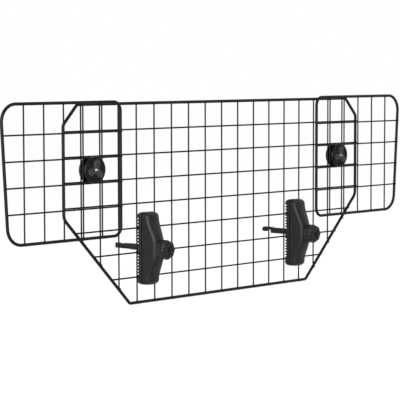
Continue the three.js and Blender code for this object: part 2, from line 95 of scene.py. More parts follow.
class DogGuardPanelSettings(bpy.types.PropertyGroup):
    """Sizes of the bent rods and of the welded mesh."""

    foot_half_width: length("Foot half width", "Middle of the foot to the corner of its slanted side", 272)
    slant_drop: length("Slant drop", "Mesh middle down to where the side starts to slant", 20)
    slant_bend: length("Slant bend", "Bend radius where the side starts to slant", 22)
    foot_bend: length("Foot bend", "Bend radius at the foot", 9)
    chamfer_width: length("Chamfer width", "Width of the cut top corner", 36.5)
    chamfer_height: length("Chamfer height", "Height of the cut top corner", 39)
    chamfer_bend: length("Chamfer bend", "Bend radius at the cut top corner", 11)
    wing_taper: length("Wing taper", "How far the wing's outer side leans in toward its foot", 16)
    wing_inner_bend: length("Inner bend", "Bend radius at the wing's inner corners", 18)
    wing_outer_bend: length("Outer bend", "Bend radius at the wing's outer corners", 34)
    # The coat is drawn thicker than a real one, so that thin wires stay as dark as they are in life.
    coat_build: length("Coat build", "How much the coat thickens a wire in the panel's plane", 0.4)
    coat_depth: length("Coat depth", "How much the coat thickens a wire in front and behind", 0.25)
    rod_coat_build: length("Rod coat build", "How much the coat thickens a rod, inward", 0.2)
    weld_width: length("Weld width", "Width of the metal squeezed out where two wires cross", 3.2)
    end_weld_length: length("End weld length", "Length of the flared weld at a wire's end", 2.2)
    lap_rise: length("Lap rise", "How proud of the rod's front a wire's pressed end stands", 0.35)


class DogGuardClampSettings(bpy.types.PropertyGroup):
    """Sizes of the wing clamps."""

    disc_depth: length("Disc depth", "Depth of the knob disc at its rim", 5)
    disc_round: length("Disc rounding", "Rounding of the knob disc's front edge", 3)
    disc_land: length("Disc land", "Flat rim round the dished face", 3.5)
    dish_depth: length("Dish depth", "Depth of the dished face", 1.5)
    grip_reach: length("Grip reach", "From the bolt's axis to the end of a grip arm", 21)
    grip_end_width: length("Grip end width", "Width of a grip arm at its round end", 14)
    grip_hollow: length("Grip hollow", "How near the axis the flanks between the arms bend", 3)
    grip_round: length("Grip rounding", "Rounding of the grip's front edge", 1.6)
    recess_depth: length("Recess depth", "Depth of the recess in the backing disc", 1.5)
    head_depth: length("Head depth", "Depth of the bolt's head", 3)
    point_length: length("Point length", "Length of the thinner point at the bolt's front end", 2.3)
    point_diameter: length("Point diameter", "Diameter of the thinner point", 4)
    bolt_diameter: length("Bolt diameter", "Diameter of the clamp bolt", 8)
    bolt_clearance: length("Bolt clearance", "Gap round the clamp bolt", 0.3)


class DogGuardJawSettings(bpy.types.PropertyGroup):
    """Sizes of the headrest clamps."""

    corner_round: length("Corner rounding", "Rounding of the jaw's corners, seen from the front", 9)
    end_depth: length("End depth", "Depth of the jaw at its ends", 30)
    front_round: length("Front rounding", "Rounding of the jaw's long front edges", 12)
    end_round: length("End rounding", "Rounding of the housing's front at its ends", 10)
    arch_start: length("Arch start", "Distance from the jaw's end to where its arch starts to rise", 8)
    arch_end: length("Arch end", "Distance from the jaw's end to where its arch stops rising", 64)
    draft: length("Draft", "How much narrower the jaw's front is at its ends", 1.5)
    waist: length("Waist", "How much more the jaw narrows at its middle", 3.5)
    notches_per_cell: bpy.props.IntProperty(
        name="Notches", description="Notches in one mesh cell", default=8, min=1
    )
    tooth_depth: length("Tooth depth", "Depth of the notches between the teeth", 4.5)
    tooth_land: length("Tooth land", "Flat top of a tooth", 1.2)
    tooth_margin: length("Tooth margin", "Plain length at each end of the row of teeth", 10)
    back_round: length("Back rounding", "Rounding of the toothed strip's back at its two ends", 7)
    side_relief: length("Side relief", "How far each side of the jaw keeps back for the wires' coat", 0.2)
    strip_depth: length("Strip depth", "Depth of the toothed strip behind the parting groove", 13)
    groove_width: length("Groove width", "Width of the parting groove", 1.8)
    groove_depth: length("Groove depth", "Depth of the parting groove", 1.6)
    knob_lobe_depth: length("Lobe depth", "Depth of the hollows between the knob's lobes", 1.4)
    knob_front_round: length("Knob rounding", "Rounding of the knob's front edge", 7)
    hook_thickness: length("Hook thickness", "Thickness of the forged hook", 10.4)


class DogGuardColours(bpy.types.PropertyGroup):
    """Colours of the finishes."""

    coating: colour("Powder coat", "Black powder coat on rods and wires", "#0c0c0d")
    gloss_plastic: colour("Gloss plastic", "Black plastic of the wing clamps' discs", "#0b0b0d")
    matt_plastic: colour("Matt plastic", "Black plastic of the jaws and their knobs", "#0f0f11")
    sleeve: colour("Sleeve", "Black plastic of the guide sleeves", "#10100f")
    phosphate: colour("Phosphated steel", "Dark grey forged hooks", "#12110e")
    zinc: colour("Zinc plate", "Zinc plate on the clamp bolts", "#a9acaf")
    grip: colour("Grip", "Fine-textured grip of the wing clamps' knobs", "#232527")
    floor: colour("Floor", "Pale floor of the studio", "#fafafa")


# mesh helpers


def filleted(corners):
    """Rounds a closed flat outline. Each corner is (u, v, radius), or (u, v) where it stays sharp."""
    arc_step = math.radians(7.5)
    points = []
    count = len(corners)
    for i, corner in enumerate(corners):
        here = Vector(corner[:2])
        radius = corner[2] if len(corner) > 2 else 0
        if radius == 0:
            points.append(here)
            continue
        back = (Vector(corners[i - 1][:2]) - here).normalized()
        on = (Vector(corners[(i + 1) % count][:2]) - here).normalized()
        half = back.angle(on) / 2
        centre = here + (back + on).normalized() * (radius / math.sin(half))
        start = here + back * (radius / math.tan(half)) - centre
        turn = (math.pi - 2 * half) * (1 if back.cross(on) < 0 else -1)
        steps = max(2, math.ceil(abs(turn) / arc_step))
        for k in range(steps + 1):
            spun = Matrix.Rotation(turn * k / steps, 2) @ start
            points.append(centre + spun)
    return points


def skin(rings, loop=False):
    """Joins rings of equal count into one closed surface. A ring of one point is a pole."""
    points = [p for ring in rings for p in ring]
    starts = [sum(len(r) for r in rings[:i]) for i in range(len(rings))]
    faces = []
    for a in range(len(rings) if loop else len(rings) - 1):
        b = (a + 1) % len(rings)
        count = max(len(rings[a]), len(rings[b]))
        for j in range(count):
            k = (j + 1) % count
            near = [starts[a] + j, starts[a] + k] if len(rings[a]) > 1 else [starts[a]]
            far = [starts[b] + k, starts[b] + j] if len(rings[b]) > 1 else [starts[b]]
            faces.append(near + far)
    if not loop:
        for i in (0, len(rings) - 1):
            if len(rings[i]) > 1:
                faces.append([starts[i] + j for j in range(len(rings[i]))])
    return points, faces


def piece(name, shells, finish=None, sharp_angle=38, body=None, node=None):
    """Makes one object of closed shells, smooth but for its real edges, and fits it to the frame.

    Finish is a function under materials. It runs on first use, and its material bears its name.
    """
    mesh = bpy.data.meshes.new(name)
    points, faces = [], []
    for shell_points, shell_faces in shells:
        base = len(points)
        points += shell_points
        faces += [[base + i for i in face] for face in shell_faces]
    mesh.from_pydata(points, [], faces)
    work = bmesh.new()
    work.from_mesh(mesh)
    bmesh.ops.recalc_face_normals(work, faces=work.faces)
    work.to_mesh(mesh)
    work.free()
    mesh.shade_smooth()
    mesh.set_sharp_from_angle(angle=math.radians(sharp_angle))
    if finish:
        mesh.materials.append(bpy.data.materials.get(finish.__name__) or finish())
    made = bpy.data.objects.new(name, mesh)
    bpy.context.scene.collection.objects.link(made)
    if body:
        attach(made, body)
    if node:
        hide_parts(node)
    return made


def shell_of(made):
    """The points and faces of an object with its modifiers applied; the object is then removed."""
    bpy.context.view_layer.update()
    ready = made.evaluated_get(bpy.context.evaluated_depsgraph_get())
    mesh = ready.to_mesh()
    shell = ([v.co.copy() for v in mesh.vertices], [list(p.vertices) for p in mesh.polygons])
    ready.to_mesh_clear()
    bpy.data.objects.remove(made)
    return shell


def cut(shell, cutter):
    """The first closed shell less the second."""
    body = piece("body", [shell])
    tool = piece("tool", [cutter])
    tool.hide_render = True
    change = body.modifiers.new("cut", "BOOLEAN")
    change.operation = "DIFFERENCE"
    change.solver = "EXACT"
    change.object = tool
    result = shell_of(body)
    bpy.data.objects.remove(tool)
    return result


def even_turns(sides):
    """Angles of a full turn in even steps."""
    return [2 * math.pi * j / sides for j in range(sides)]


def quarter_turn(steps):
    """Angles from nothing to a right angle in even steps."""
    return [math.pi / 2 * k / steps for k in range(steps + 1)]


def softened_end(ring, end, neighbour, end_round, radius):
    """Rings that round off a bar's end, from its full thickness to its end face."""
    inward = (neighbour - end).normalized()
    steps = ((1, 0), (0.3, 0.3), (0, 1))
    return [
        [end + inward * (end_round * back) + (p - end) * (1 - end_round / radius * shrink) for p in ring]
        for back, shrink in steps
    ]


def round_bar(route, normal, radius, sides, loop=False, end_round=0.0, deep=None):
    """Bar along a flat route, mitred at each point. Deep is its radius along the normal, if it differs."""
    deep = deep or radius
    rings = []
    count = len(route)
    for i, point in enumerate(route):
        before = route[i - 1] if loop or i > 0 else point
        after = route[(i + 1) % count] if loop or i < count - 1 else point
        arriving = (point - before).normalized()
        leaving = (after - point).normalized()
        along = (arriving + leaving).normalized()
        stretch = 1 / along.dot(leaving if leaving.length > 0 else arriving)
        across = along.cross(normal) * stretch
        rings.append([
            point + across * math.cos(t) * radius + normal * math.sin(t) * deep for t in even_turns(sides)
        ])
    if end_round > 0:
        first = softened_end(rings[0], route[0], route[1], end_round, radius)
        last = softened_end(rings[-1], route[-1], route[-2], end_round, radius)
        rings = first[::-1] + rings[1:-1] + last
    return skin(rings, loop)


def turned(profile, centre, sides, loop=False, lobes=0, lobe_depth=0.0):
    """Turned piece about the Y axis through centre, from points of radius, distance and lobe share."""
    rings = []
    for entry in profile:
        radius, along = entry[0], entry[1]
        share = entry[2] if len(entry) > 2 else 0
        if radius == 0:
            rings.append([centre + BEHIND * along])
            continue
        ring = []
        for t in even_turns(sides):
            reach = radius - lobe_depth * share * (1 - math.cos(lobes * t)) / 2
            ring.append(centre + Vector((reach * math.cos(t), along, reach * math.sin(t))))
        rings.append(ring)
    return skin(rings, loop)


def box_of(node):
    """Lowest corner, highest corner and middle of a CAD node."""
    low, high = (Vector(corner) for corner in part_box(node))
    return low, high, (low + high) / 2


def smoothstep(share):
    """Eases from 0 to 1."""
    held = min(1.0, max(0.0, share))
    return held * held * (3 - 2 * held)


# materials


def fill(tree, node, inputs):
    """Fills a node's inputs with values or other nodes' outputs."""
    for name, value in inputs.items():
        if isinstance(value, bpy.types.NodeSocket):
            tree.links.new(value, node.inputs[name])
        else:
            node.inputs[name].default_value = value


def add_node(tree, kind, inputs=None, **settings):
    """Adds a node with its settings and fills its inputs."""
    node = tree.nodes.new(kind)
    for name, value in settings.items():
        setattr(node, name, value)
    fill(tree, node, inputs or {})
    return node


def new_material(name, **sockets):
    """A material whose even values are set on its shader's own sockets, with its tree and place."""
    material = bpy.data.materials.new(name)
    material.use_nodes = True
    tree = material.node_tree
    shader = tree.nodes["Principled BSDF"]
    fill(tree, shader, {socket.replace("_", " "): value for socket, value in sockets.items()})
    return material, tree, add_node(tree, "ShaderNodeTexCoord").outputs["Object"]


def drifting_colour(tree, factor, base, spread):
    """A colour that drifts a little either side of its base as the factor goes from 0 to 1."""
    ramp = add_node(tree, "ShaderNodeValToRGB", {"Fac": factor})
    for stop, scale in zip(ramp.color_ramp.elements, (1 - spread, 1 + spread)):
        stop.color = (*(channel * scale for channel in base), 1)
    return ramp.outputs["Color"]


def finished(material, shade, rough, relief):
    """Gives a material its uneven colour and roughness, and its relief, from textures.

    Shade is a texture, a colour and how far it drifts. Rough is a texture and the lowest and highest
    roughness. Relief has a texture, a strength and a depth for each layer, the coarsest first.
    """
    tree = material.node_tree
    texture, base, spread = shade
    colours = drifting_colour(tree, texture.outputs["Fac"], base, spread)
    texture, lowest, highest = rough
    roughness = add_node(
        tree, "ShaderNodeMapRange", {"Value": texture.outputs["Fac"], "To Min": lowest, "To Max": highest}
    )
    below = {}
    for texture, strength, depth in relief:
        layer = {"Height": texture.outputs[0], "Strength": strength, "Distance": depth}
        below = {"Normal": add_node(tree, "ShaderNodeBump", {**layer, **below}).outputs["Normal"]}
    fill(tree, tree.nodes["Principled BSDF"], {
        "Base Color": colours, "Roughness": roughness.outputs["Result"], **below
    })
    return material


def black_powder_coated_steel():
    """Steel rod and wire under baked black powder coat."""
    # The eye gets a deep black with a soft gloss, broken by a faint orange peel of about 1.2 mm.
    base = bpy.context.scene.dog_guard_colours.coating
    material, tree, place = new_material(
        "black_powder_coated_steel", Metallic=0.0, IOR=1.5, Specular_IOR_Level=0.14
    )
    peel = add_node(tree, "ShaderNodeTexNoise", {"Vector": place, "Scale": 1 / (1.2 * MM), "Detail": 2.0})
    drift = add_node(tree, "ShaderNodeTexNoise", {"Vector": place, "Scale": 1 / (40 * MM), "Detail": 3.0})
    return finished(
        material, shade=(drift, base, 0.25), rough=(drift, 0.4, 0.5),
        relief=[(peel, 0.2, 0.02 * MM)],
    )


def polished_moulded_abs():
    """ABS moulded against a polished tool."""
    # The eye gets an inky black with clear reflections that a slow waviness bends. The polish of the
    # tool is finer than 0.1 mm; its mottle is drawn at 0.6 mm so that it still shows.
    base = bpy.context.scene.dog_guard_colours.gloss_plastic
    material, tree, place = new_material(
        "polished_moulded_abs", Metallic=0.0, IOR=1.53, Specular_IOR_Level=0.13
    )
    flow = add_node(
        tree, "ShaderNodeTexNoise",
        {"Vector": place, "Scale": 1 / (14 * MM), "Detail": 2.0, "Distortion": 0.6},
    )
    grain = add_node(tree, "ShaderNodeTexNoise", {"Vector": place, "Scale": 1 / (0.6 * MM), "Detail": 3.0})
    return finished(
        material, shade=(flow, base, 0.15), rough=(grain, 0.16, 0.24),
        relief=[(flow, 0.25, 0.12 * MM), (grain, 0.08, 0.02 * MM)],
    )


def fine_textured_abs():
    """ABS moulded against a finely etched part of the tool, so that fingers hold it."""
    # The eye gets a dull dark grey that scatters the light, beside the polished face round it. The
    # real texture is near 0.1 mm; it is drawn at 0.3 mm so that it still shows.
    base = bpy.context.scene.dog_guard_colours.grip
    material, tree, place = new_material(
        "fine_textured_abs", Metallic=0.0, IOR=1.53, Specular_IOR_Level=0.3
    )
    etch = add_node(tree, "ShaderNodeTexNoise", {"Vector": place, "Scale": 1 / (0.3 * MM), "Detail": 3.0})
    return finished(
        material, shade=(etch, base, 0.15), rough=(etch, 0.42, 0.55),
        relief=[(etch, 0.4, 0.04 * MM)],
    )


def spark_eroded_glass_filled_nylon():
    """Glass-filled nylon moulded in a spark-eroded tool."""
    # The eye gets a charcoal satin with a fine even grain. The real grain is near 0.1 mm; it is
    # drawn at 0.35 mm so that it still shows in a render of the whole guard.
    base = bpy.context.scene.dog_guard_colours.matt_plastic
    material, tree, place = new_material(
        "spark_eroded_glass_filled_nylon", Metallic=0.0, IOR=1.53, Specular_IOR_Level=0.22
    )
    grain = add_node(tree, "ShaderNodeTexNoise", {"Vector": place, "Scale": 1 / (0.35 * MM), "Detail": 4.0})
    pits = add_node(tree, "ShaderNodeTexVoronoi", {"Vector": place, "Scale": 1 / (0.5 * MM)})
    cloud = add_node(tree, "ShaderNodeTexNoise", {"Vector": place, "Scale": 1 / (18 * MM), "Detail": 3.0})
    return finished(
        material, shade=(cloud, base, 0.2), rough=(cloud, 0.4, 0.48),
        relief=[(grain, 0.5, 0.06 * MM), (pits, 0.25, 0.05 * MM)],
    )


def extruded_pvc():
    """PVC tube drawn through a die."""
    # The eye gets a dull black with die lines that run along the sleeve. Real ones are near 0.1 mm
    # apart; they are drawn 0.5 mm apart so that they still show.
    base = bpy.context.scene.dog_guard_colours.sleeve
    material, tree, place = new_material("extruded_pvc", Metallic=0.0, IOR=1.53, Specular_IOR_Level=0.15)
    apart = 0.5 * MM
    run = 25 * MM
    stretch = add_node(
        tree, "ShaderNodeMapping", {"Vector": place, "Scale": (1 / apart, 1 / run, 1 / apart)}
    )
    lines = add_node(
        tree, "ShaderNodeTexNoise", {"Vector": stretch.outputs["Vector"], "Scale": 1.0, "Detail": 3.0}
    )
    return finished(
        material, shade=(lines, base, 0.2), rough=(lines, 0.45, 0.6),
        relief=[(lines, 0.5, 0.04 * MM)],
    )


def phosphated_forged_steel():
    """Forged steel under dark phosphate and oil."""
    # The eye gets a warm near-black, softly mottled, with the low waves of a forged skin. Phosphate
    # crystals are near 0.02 mm; they are drawn at 0.4 mm so that the mottle still shows.
    base = bpy.context.scene.dog_guard_colours.phosphate
    material, tree, place = new_material(
        "phosphated_forged_steel", Metallic=0.0, IOR=1.5, Specular_IOR_Level=0.14
    )
    waves = add_node(tree, "ShaderNodeTexNoise", {"Vector": place, "Scale": 1 / (5 * MM), "Detail": 2.0})
    mottle = add_node(tree, "ShaderNodeTexNoise", {"Vector": place, "Scale": 1 / (0.4 * MM), "Detail": 4.0})
    return finished(
        material, shade=(mottle, base, 0.3), rough=(waves, 0.34, 0.5),
        relief=[(waves, 0.4, 0.15 * MM), (mottle, 0.3, 0.03 * MM)],
    )


def bright_zinc_plated_steel():
    """Rolled steel bolt under bright zinc plate."""
    # The eye gets a grey silver with a soft sheen and a faint cloudiness from the plating bath. The
    # plate's grain is far below 0.1 mm; it is drawn at 0.3 mm so that it still shows.
    base = bpy.context.scene.dog_guard_colours.zinc
    material, tree, place = new_material("bright_zinc_plated_steel", Metallic=1.0)
    cloud = add_node(tree, "ShaderNodeTexNoise", {"Vector": place, "Scale": 1 / (2.5 * MM), "Detail": 4.0})
    grain = add_node(tree, "ShaderNodeTexNoise", {"Vector": place, "Scale": 1 / (0.3 * MM), "Detail": 2.0})
    return finished(
        material, shade=(cloud, base, 0.06), rough=(cloud, 0.22, 0.36),
        relief=[(grain, 0.2, 0.02 * MM)],
    )


# mesh panels


WIRE_SIDES = 16


def weld_nugget(centre, width, depth):
    """Low bead of metal squeezed out where two wires are welded."""
    steps = 8
    sides = 12
    turns = [math.pi * k / steps for k in range(steps + 1)]
    profile = [(width / 2 * math.sin(t), -depth / 2 * math.cos(t)) for t in turns]
    profile[-1] = (0, depth / 2)
    return turned(profile, centre, sides)


def end_weld(end, way, radius, run):
    """Flared weld from a wire's end into the rod; way points along the wire toward the rod."""
    across = way.cross(BEHIND)
    # Each pair is a place along the run, and how many times the wire's radius the weld is there.
    flare = ((-1.0, 1.01), (-0.5, 1.05), (-0.1, 1.18), (0.3, 1.4), (0.7, 1.45), (1.0, 1.1))
    rings = []
    for along, swell in flare:
        middle = end + way * (along * run)
        rings.append([
            middle + (across * math.cos(t) + BEHIND * math.sin(t)) * (radius * swell)
            for t in even_turns(WIRE_SIDES)
        ])
    return skin(rings)


def rod_crossings(route, along, across, value):
    """Where the rod's middle line crosses a wire's line, and how squarely, from low to high."""
    found = []
    for here, there in zip(route, route[1:] + route[:1]):
        if (here[across] > value) != (there[across] > value):
            point = here.lerp(there, (value - here[across]) / (there[across] - here[across]))
            found.append((point, abs(there[across] - here[across]) / (there - here).length))
    return sorted(found, key=lambda entry: entry[0][along])


def bent_rod(prefix, body, route):
    """The coated rod that frames a panel. Its coat builds inward, so its outer line stays."""
    sizes = bpy.context.scene.dog_guard_panels
    low, high, middle = box_of(f"{prefix}_frame_rod")
    radius = (high.y - low.y) / 2
    build = sizes.rod_coat_build
    half = (high - low) / 2 - Vector((radius, 0, radius))
    shrink = Vector((1 - build / half.x, 1, 1 - build / half.z))
    drawn = [middle + (p - middle) * shrink for p in route]
    sides = 24
    rod = round_bar(drawn, BEHIND, radius + build, sides, loop=True)
    piece(f"{prefix}_bent_rod", [rod], black_powder_coated_steel,
          body=body, node=f"{prefix}_frame_rod")


def coated_wire(prefix, body, node, along, route):
    """Draws one wire, and gives the welds and the pressed laps where its ends meet the rod."""
    sizes = bpy.context.scene.dog_guard_panels
    rod_low, rod_high, _ = box_of(f"{prefix}_frame_rod")
    rod_radius = (rod_high.y - rod_low.y) / 2
    lap_front = rod_low.y - sizes.rod_coat_build - sizes.lap_rise
    low, high, middle = box_of(node)
    steel = (high.y - low.y) / 2
    radius = steel + sizes.coat_depth
    half = (high[along] - low[along]) / 2
    way = Vector((0, 0, 1)) if along == 2 else Vector((1, 0, 0))
    ends = [middle - way * half, middle + way * half]
    wire = round_bar(ends, BEHIND, steel + sizes.coat_build, WIRE_SIDES, deep=radius)
    piece(f"{node}_drawn", [wire], black_powder_coated_steel, body=body, node=node)

    welds = []
    across = 2 - along
    crossings = rod_crossings(route, along, across, middle[across])
    lap_round = 0.6 * radius
    for end, outward, (point, squareness) in zip(ends, (-way, way), crossings):
        welds.append(end_weld(end, outward, radius, sizes.end_weld_length))
        # A wire that meets the rod at a slant laps over more of it.
        lap = rod_radius / squareness + radius * (1 - squareness) * 2
        lap_middle = Vector((point.x, lap_front + radius, point.z))
        lap_ends = [lap_middle - outward * lap, lap_middle + outward * lap]
        welds.append(round_bar(lap_ends, BEHIND, radius, WIRE_SIDES, end_round=lap_round))
    return welds


def crossing_welds(uprights, levels):
    """Beads of squeezed metal where a panel's upright and level wires cross."""
    sizes = bpy.context.scene.dog_guard_panels
    bead_share = 0.8
    welds = []
    for level in levels:
        low, high, middle = box_of(level)
        depth = bead_share * (high.z - low.z)
        for upright in uprights:
            foot, head, crossing = box_of(upright)
            if foot.z < middle.z < head.z and low.x < crossing.x < high.x:
                seat = Vector((crossing.x, (crossing.y + middle.y) / 2, middle.z))
                welds.append(weld_nugget(seat, sizes.weld_width, depth))
    return welds


def panel_pieces(prefix, body, corners):
    """The bent rod, the wires and their welds of one panel."""
    middle = box_of(f"{prefix}_frame_rod")[2]
    route = [Vector((p.x, middle.y, p.y)) for p in filleted(corners)]
    bent_rod(prefix, body, route)
    named = sorted(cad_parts)
    uprights = [n for n in named if n.startswith(f"{prefix}_upright_wire")]
    levels = [n for n in named if n.startswith(f"{prefix}_level_wire")]
    welds = []
    for along, wires in ((2, uprights), (0, levels)):
        for node in wires:
            welds += coated_wire(prefix, body, node, along, route)
    welds += crossing_welds(uprights, levels)
    piece(f"{prefix}_mesh_welds", welds, black_powder_coated_steel, sharp_angle=60,
          body=body)


class DOGGUARD_OT_centre_panel(bpy.types.Operator):
    """Build the centre panel of bent rod and welded mesh"""

    bl_idname = "dogguard.centre_panel"
    bl_label = "Centre Panel"

    def execute(self, context):
        sizes = context.scene.dog_guard_panels
        low, high, middle = box_of("centre_frame_rod")
        radius = (high.y - low.y) / 2
        half = high.x - radius
        top = high.z - radius
        foot = low.z + radius
        right = [
            (sizes.foot_half_width, foot, sizes.foot_bend),
            (half, middle.z - sizes.slant_drop, sizes.slant_bend),
            (half, top - sizes.chamfer_height, sizes.chamfer_bend),
            (half - sizes.chamfer_width, top, sizes.chamfer_bend),
        ]
        left = [(-x, z, bend) for x, z, bend in reversed(right)]
        panel_pieces("centre", "centre_panel", right + left)
        return {"FINISHED"}


class DOGGUARD_OT_wings(bpy.types.Operator):
    """Build the two sliding mesh wings"""

    bl_idname = "dogguard.wings"
    bl_label = "Sliding Wings"

    def execute(self, context):
        sizes = context.scene.dog_guard_panels
        for name, side in SIDES.items():
            low, high, _ = box_of(f"{name}_wing_frame_rod")
            radius = (high.y - low.y) / 2
            inner, outer = sorted((abs(low.x), abs(high.x)))
            inner += radius
            outer -= radius
            foot = low.z + radius
            top = high.z - radius
            lean = math.atan2(sizes.wing_taper, top - foot)
            # The rounded top corner stays short of its sharp point, so the point goes out past the box.
            outer += sizes.wing_outer_bend * (1 / math.cos(lean) - 1 + math.tan(lean))
            corners = [
                (side * inner, foot, sizes.wing_inner_bend),
                (side * (outer - sizes.wing_taper), foot, sizes.wing_outer_bend),
                (side * outer, top, sizes.wing_outer_bend),
                (side * inner, top, sizes.wing_inner_bend),
            ]
            panel_pieces(f"{name}_wing", f"{name}_wing", corners)
        return {"FINISHED"}


# wing clamps


DISC_SIDES = 96


def bolt_hole():
    """Radius of a hole that clears a clamp bolt or the thread of a hook bolt."""
    sizes = bpy.context.scene.dog_guard_clamps
    return sizes.bolt_diameter / 2 + sizes.bolt_clearance


def grip_outline():
    """Three round-ended arms with hollow flanks between them, as points and outward directions."""
    sizes = bpy.context.scene.dog_guard_clamps
    arms = 3
    first_arm = math.radians(79.2)
    arc_steps = 18
    flank_steps = 14
    radius = sizes.grip_end_width / 2
    reach = sizes.grip_reach - radius

    def spoke(turn, distance):
        return Vector((math.cos(turn), math.sin(turn))) * distance

    points = []
    for i in range(arms):
        turn = first_arm + i * 2 * math.pi / arms
        following = turn + 2 * math.pi / arms
        end = spoke(turn, reach)
        for k in range(arc_steps + 1):
            points.append(end + spoke(turn + math.pi * (k / arc_steps - 0.5), radius))
        start = points[-1]
        hollow = spoke(turn + math.pi / arms, sizes.grip_hollow)
        finish = spoke(following, reach) + spoke(following - math.pi / 2, radius)
        for k in range(1, flank_steps):
            share = k / flank_steps
            first_leg = start.lerp(hollow, share)
            points.append(first_leg.lerp(hollow.lerp(finish, share), share))
    count = len(points)
    outward = []
    for i in range(count):
        tangent = points[(i + 1) % count] - points[i - 1]
        outward.append(Vector((tangent.y, -tangent.x)).normalized())
    return list(zip(points, outward))


def grip_ring(outline, inset, along, centre):
    """One ring of the grip, drawn in by inset and set at a distance along Y."""
    drawn = [point - outward * inset for point, outward in outline]
    return [centre + Vector((p.x, along, p.y)) for p in drawn]


def dished_disc(radius, centre):
    """The front disc, its face dished inside a flat rim."""
    sizes = bpy.context.scene.dog_guard_clamps
    front = -sizes.disc_depth
    floor = front + sizes.dish_depth
    dish = radius - sizes.disc_round - sizes.disc_land
    dish_slope = 2 * MM
    dish_edge = 0.6 * MM
    back_edge = 1.2 * MM
    profile = filleted([
        (bolt_hole(), 0),
        (radius, 0, back_edge),
        (radius, front, sizes.disc_round),
        (dish, front, dish_edge),
        (dish - dish_slope, floor, dish_edge),
        (bolt_hole(), floor),
    ])
    return turned(profile, centre, DISC_SIDES, loop=True)


def three_armed_grip(grip_front, centre):
    """The raised grip, with a flared root, a rounded front edge and a slightly crowned face."""
    sizes = bpy.context.scene.dog_guard_clamps
    outline = grip_outline()
    floor = sizes.dish_depth - sizes.disc_depth
    root = 0.9 * MM
    crown = 0.3 * MM
    crown_steps = 4
    rings = [grip_ring(outline, -root, floor + root, centre)]
    for t in quarter_turn(5):
        inset = -root * (1 - math.sin(t))
        rings.append(grip_ring(outline, inset, floor - root * (1 - math.cos(t)), centre))
    for t in quarter_turn(8):
        inset = sizes.grip_round * (1 - math.cos(t))
        along = grip_front + crown + sizes.grip_round * (1 - math.sin(t))
        rings.append(grip_ring(outline, inset, along, centre))
    for k in range(1, crown_steps + 1):
        inset = sizes.grip_round + crown * k
        along = grip_front + crown * (1 - k / crown_steps) ** 2
        rings.append(grip_ring(outline, inset, along, centre))
    hole = bolt_hole()
    drill = [(0, 2 * grip_front), (hole, 2 * grip_front), (hole, floor / 2), (0, floor / 2)]
    return cut(skin(rings), turned(drill, centre, DISC_SIDES // 2))


def knob_disc(name):
    """The knob of a wing clamp: a dished disc with a three-armed grip."""
    low, high, middle = box_of(f"{name}_knob_disc")
    centre = Vector((middle.x, high.y, middle.z))
    disc = dished_disc((high.x - low.x) / 2, centre)
    piece(f"{name}_clamp_knob", [disc], polished_moulded_abs, sharp_angle=32,
          body=f"{name}_wing_knob", node=f"{name}_knob_disc")
    grip = three_armed_grip(low.y - high.y, centre)
    piece(f"{name}_knob_grip", [grip], fine_textured_abs, sharp_angle=40,
          body=f"{name}_wing_knob")


def backing_disc(name):
    """The disc behind the mesh, recessed round a boss that seats the bolt head."""
    sizes = bpy.context.scene.dog_guard_clamps
    low, high, middle = box_of(f"{name}_backing_disc")
    centre = Vector((middle.x, low.y, middle.z))
    radius = (high.x - low.x) / 2
    depth = high.y - low.y
    floor = depth - sizes.recess_depth
    rim_width = 4 * MM
    rim = radius - rim_width
    boss = 12.5 * MM
    seat = 8.3 * MM
    draft = 1 * MM
    edge = 0.4 * MM
    profile = filleted([
        (bolt_hole(), 0),
        (radius, 0, 2 * edge),
        (radius, depth, sizes.disc_round),
        (rim, depth, edge),
        (rim - draft, floor, edge),
        (boss + draft, floor, edge),
        (boss, depth, edge),
        (seat, depth, edge / 2),
        (seat, floor),
        (bolt_hole(), floor),
    ])
    shell = turned(profile, centre, DISC_SIDES, loop=True)
    piece(f"{name}_clamp_backing", [shell], polished_moulded_abs, body=f"{name}_wing_clamp",
          node=f"{name}_backing_disc")


def clamp_bolt(name):
    """Clamp bolt with a low round head behind and a thinner domed point in front."""
    sizes = bpy.context.scene.dog_guard_clamps
    low, high, middle = box_of(f"{name}_clamp_bolt")
    radius = sizes.bolt_diameter / 2
    point = sizes.point_diameter / 2
    point_end = low.y + sizes.point_length
    head = (high.x - low.x) / 2
    head_front = high.y - sizes.head_depth
    rim_share = 0.35
    dome = [(point * math.sin(t), low.y + point / 2 * (1 - math.cos(t))) for t in quarter_turn(10)]
    shoulder = [(point, point_end), (radius, point_end + radius - point), (radius, head_front)]
    cap = [
        (head * math.cos(t), head_front + sizes.head_depth * (rim_share + (1 - rim_share) * math.sin(t)))
        for t in quarter_turn(10)
    ]
    cap[-1] = (0, high.y)
    profile = dome + shoulder + [(head, head_front)] + cap
    shell = turned(profile, Vector((middle.x, 0, middle.z)), DISC_SIDES // 2)
    piece(f"{name}_carriage_bolt", [shell], bright_zinc_plated_steel, body=f"{name}_wing_clamp",
          node=f"{name}_clamp_bolt")


class DOGGUARD_OT_wing_clamps(bpy.types.Operator):
    """Build the round clamps that hold the wings"""

    bl_idname = "dogguard.wing_clamps"
    bl_label = "Wing Clamps"

    def execute(self, context):
        for name in SIDES:
            knob_disc(name)
            backing_disc(name)
            clamp_bolt(name)
        return {"FINISHED"}


# headrest clamps


def corner_inset(radius, from_end):
    """How far a rounded corner draws in at a distance from the end."""
    left = max(0.0, radius - from_end)
    return radius - math.sqrt(max(0.0, radius ** 2 - left ** 2))


